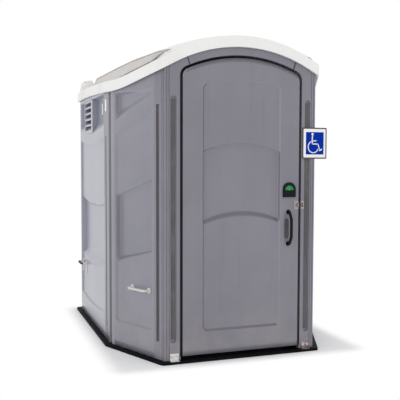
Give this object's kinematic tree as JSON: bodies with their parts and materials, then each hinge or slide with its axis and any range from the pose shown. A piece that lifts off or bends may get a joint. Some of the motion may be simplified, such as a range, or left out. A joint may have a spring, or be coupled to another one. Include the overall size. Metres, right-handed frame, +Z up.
{
  "type": "portable toilet cabin",
  "caption": "Wide step-free portable toilet cabin with slanted front corners, arched sprung door, raised white roof, seat over a tank, grab bars and ventilated formed walls.",
  "frame": {"origin": "middle of the base pan's underside, on the ground, half way between the front and the rear edge of the flange", "axes": "+Z up, -Y out through the door at the front, +X to the right for someone who faces the door from outside"},
  "size_m": [1.776, 2.05, 2.404],
  "materials": {
    "base_black": "textured",
    "wall_grey": "fine texture",
    "post_grey": "fine texture",
    "door_grey": "fine texture",
    "roof_white": "translucent white",
    "roof_translucent": "translucent",
    "tank_grey": "smooth",
    "seat_black": "gloss",
    "dark_trim": "matt",
    "mat_rubber": "ribbed",
    "pipe_grey": "smooth",
    "zinc_steel": "zinc plated",
    "stainless": "brushed",
    "alloy": "satin",
    "sign_blue": "satin",
    "handle_black": "satin",
    "handle_white": "satin",
    "indicator_green": "satin",
    "paper": "soft",
    "case_white": "gloss"
  },
  "bodies": {
    "cabin": {"base_pan": "base_black", "floor_mat": "mat_rubber", "door_sill": "alloy", "anchor_plates": "zinc_steel", "anchor_bolts": "zinc_steel", "front_post_left": "post_grey", "front_post_right": "post_grey", "door_header": "post_grey", "side_post_left": "post_grey", "side_post_right": "post_grey", "rear_post_left": "post_grey", "rear_post_right": "post_grey", "slot_strips": "dark_trim", "corner_panel_left": "wall_grey", "corner_panel_right": "wall_grey", "side_panel_left": "wall_grey", "side_panel_right": "wall_grey", "rear_panel": "wall_grey", "vent_hood_left": "wall_grey", "vent_hood_right": "wall_grey", "roof_light_left": "roof_translucent", "roof_light_right": "roof_translucent", "roof_shell": "roof_white", "roof_lugs": "roof_white", "holding_tank": "tank_grey", "tank_deck": "tank_grey", "bowl_collar": "seat_black", "vent_pipe": "pipe_grey", "vent_cap": "pipe_grey", "seat_hinge_blocks": "seat_black", "seat_hinge_pin": "stainless", "grab_bar_side": "stainless", "grab_bar_rear": "stainless", "paper_holder": "case_white", "sanitizer_case": "case_white", "coat_hook": "zinc_steel", "sign_plate": "sign_blue", "carry_handles": "handle_white", "wall_rivets": "alloy", "door_stop_frame": "dark_trim", "hinge_leaf_frame": "zinc_steel", "hinge_rod": "stainless", "door_strike": "zinc_steel", "hasp_jamb": "zinc_steel"},
    "door": {"door_outer_skin": "door_grey", "door_inner_skin": "door_grey", "hinge_leaf_door": "zinc_steel", "door_pull_outer": "handle_black", "door_pull_inner": "handle_black", "pull_backplate": "pipe_grey", "indicator_housing": "dark_trim", "hasp_door": "zinc_steel"},
    "latch": {"latch_bolt": "zinc_steel", "latch_knob": "handle_black", "indicator_disc": "indicator_green"},
    "seat": {"toilet_seat": "seat_black"},
    "lid": {"toilet_lid": "seat_black"},
    "roll_front": {"paper_roll_front": "paper"},
    "roll_rear": {"paper_roll_rear": "paper"},
    "lever": {"sanitizer_lever": "dark_trim"}
  },
  "joints": [
    {"name": "door_hinge", "type": "hinge", "parent": "cabin", "child": "door", "pos_m": [-0.45725, -0.972, 1], "axis": [0, 0, -1], "range_deg": [0, 105], "stiffness_Nm_per_rad": 6, "springref_deg": -20.05},
    {"name": "latch_turn", "type": "hinge", "parent": "door", "child": "latch", "pos_m": [0.37, -0.95, 1.207], "axis": [0, 1, 0], "range_deg": [0, 90]},
    {"name": "seat_hinge", "type": "hinge", "parent": "cabin", "child": "seat", "pos_m": [-0.335, 0.755, 0.476], "axis": [-1, 0, 0], "range_deg": [0, 92]},
    {"name": "lid_hinge", "type": "hinge", "parent": "cabin", "child": "lid", "pos_m": [-0.335, 0.755, 0.476], "axis": [-1, 0, 0], "range_deg": [-96.5, 0]},
    {"name": "roll_front_spin", "type": "hinge", "parent": "cabin", "child": "roll_front", "pos_m": [-0.727, 0.246, 0.665], "axis": [0, 1, 0], "continuous": true},
    {"name": "roll_rear_spin", "type": "hinge", "parent": "cabin", "child": "roll_rear", "pos_m": [-0.727, 0.358, 0.665], "axis": [0, 1, 0], "continuous": true},
    {"name": "sanitizer_push", "type": "hinge", "parent": "cabin", "child": "lever", "pos_m": [0.722, 0, 0.851], "axis": [0, -1, 0], "range_deg": [0, 10], "stiffness_Nm_per_rad": 0.6, "springref_deg": -11.46}
  ]
}
